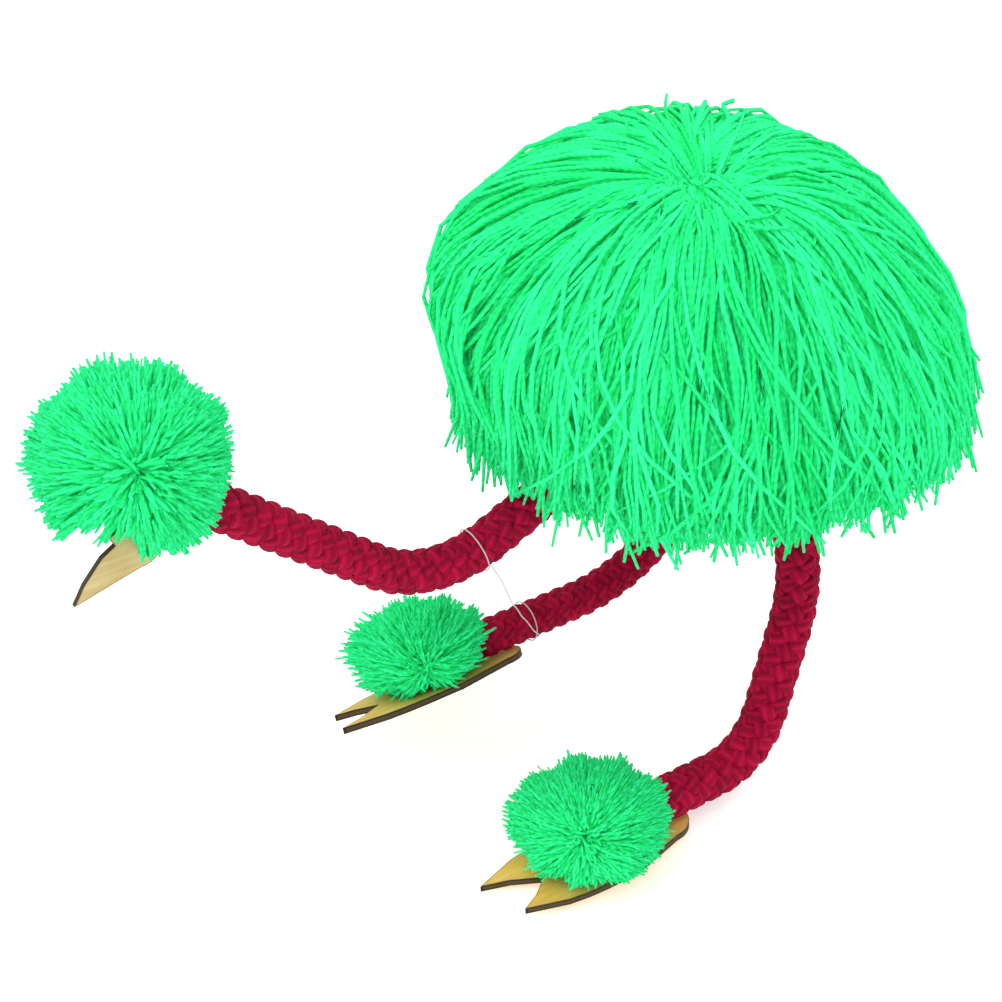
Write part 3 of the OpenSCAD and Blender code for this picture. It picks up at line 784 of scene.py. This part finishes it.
def turnedWoodFinish():
    paint = Finish("turnedWood", Specular_IOR_Level=0.4)
    grain = paint.noise(paint.stretched((220.0, 220.0, 28.0)), 1.0, 7.0, 0.62)
    colour = paint.blend(grain.between(0.3, 0.75), rgb(214, 172, 116), rgb(164, 118, 68))
    return paint.feed(Base_Color=colour, Roughness=0.5 + grain * 0.2, Normal=paint.bump(grain, 0.1 * mm))


def shadeBlackFinish():
    # painted shade: the head ball is near black so the gap in the strands above the beak shows as deep
    # shade
    paint = Finish("headBallShadeBlack", Coat_Weight=0.3, Coat_Roughness=0.25)
    dapple = paint.noise(paint.objectPoint(), 350.0, 3.0)
    colour = paint.blend(dapple, rgb(12, 12, 13), rgb(30, 29, 30))
    return paint.feed(Base_Color=colour, Roughness=0.32 + dapple * 0.16,
                      Normal=paint.bump(dapple, 0.05 * mm))


def addFloor():
    paint = Finish("floorPaper", Specular_IOR_Level=0.2, Emission_Color=(1, 1, 1, 1), Emission_Strength=0.3)
    tooth = paint.noise(paint.objectPoint(), 40.0)
    material = paint.feed(Base_Color=paint.blend(tooth, (0.90, 0.90, 0.90, 1), (0.93, 0.93, 0.93, 1)),
                          Roughness=0.9 - tooth * 0.1)
    half = studio["floorSize"] / 2
    low = cadBox[0].z - studio["floorGap"]
    corners = [(-half, -half, low), (half, -half, low), (half, half, low), (-half, half, low)]
    mesh = bpy.data.meshes.new("floor")
    mesh.from_pydata(corners, [], [(0, 1, 2, 3)])
    mesh.materials.append(material)
    floor = bpy.data.objects.new("floor", mesh)
    bpy.context.collection.objects.link(floor)


addCamera()
addLights()
bpy.context.scene.view_settings.view_transform = "Standard"
addThread(threadFinish())
print("thread done")

crimson = yarnFinish("crimsonBraid", rgb(62, 0, 12), rgb(196, 8, 66), 3.0 * mm, 5, 0.45 * mm, 0.12, 0.16)
for rope in (neckRope, leftRope, rightRope):
    addBraid(rope, crimson)

green = yarnFinish("greenYarn", rgb(0, 216, 96), rgb(58, 255, 172), 2.6 * mm, 2, 0.16 * mm, 0.22,
                   0.12, 0.035)
# painted shade: a darker copy of the green yarn, for the yarn hidden under the mop and the pompoms and for
# the pompom ties
shadedGreen = yarnFinish("shadedYarn", rgb(1, 130, 54), rgb(10, 190, 90), 3.0 * mm, 1, 0.3 * mm, 0.1, 0.07)
addMop(green, shadedGreen)

soleWood = (rgb(212, 156, 62), rgb(234, 188, 92), rgb(246, 214, 138))
beakWood = (rgb(178, 148, 84), rgb(204, 178, 116), rgb(234, 222, 188))
headDown = (0, -0.55, -0.835)
nearHead = ropeFrame(neckRope, np.array([150.0]))[0][0]
neckWay = nearHead - np.mean([list(v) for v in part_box("head_ball")], 0)
plainAxes = (np.array([1.0, 0, 0]), np.array([0, 1.0, 0]), np.array([0, 0, 1.0]))
headGap = np.array((0.62, -0.50, -0.60))
headCentre = addPompom(headPom, green, [(headDown, 0.89), (headGap, 0.865), (neckWay, 0.96)], plainAxes)
# the core sits back from the gap in the strands, so the dark head ball shows there as painted shade
addPomCore("headPompomCore", "head", headCentre - headPom["coreShift"] * mm * headGap, plainAxes,
           headPom["reach"], headPom["core"], shadedGreen)
for pom, sole in ((leftPom, "left_sole"), (rightPom, "right_sole")):
    axes = flatFrame(sole)
    centre = addPompom(pom, green, [(-np.array(axes[2]), 0.80)], axes)
    addPomCore(pom["name"].replace("Strands", "Core"), pom["body"], centre, axes, pom["reach"],
               pom["core"], shadedGreen)
    paintNode(sole, plywoodFinish(sole + "Plywood", tuple(float(v) for v in axes[2]), *soleWood))
for node in ("left_pompom_tie", "right_pompom_tie"):
    paintNode(node, shadedGreen)
paintNode("beak", plywoodFinish("beakPlywood", (1.0, 0.0, 0.0), *beakWood))
paintNode("head_ball", shadeBlackFinish())
for node in ("body_ball", "crown_button"):
    paintNode(node, turnedWoodFinish())
addFloor()
print("everything is made")
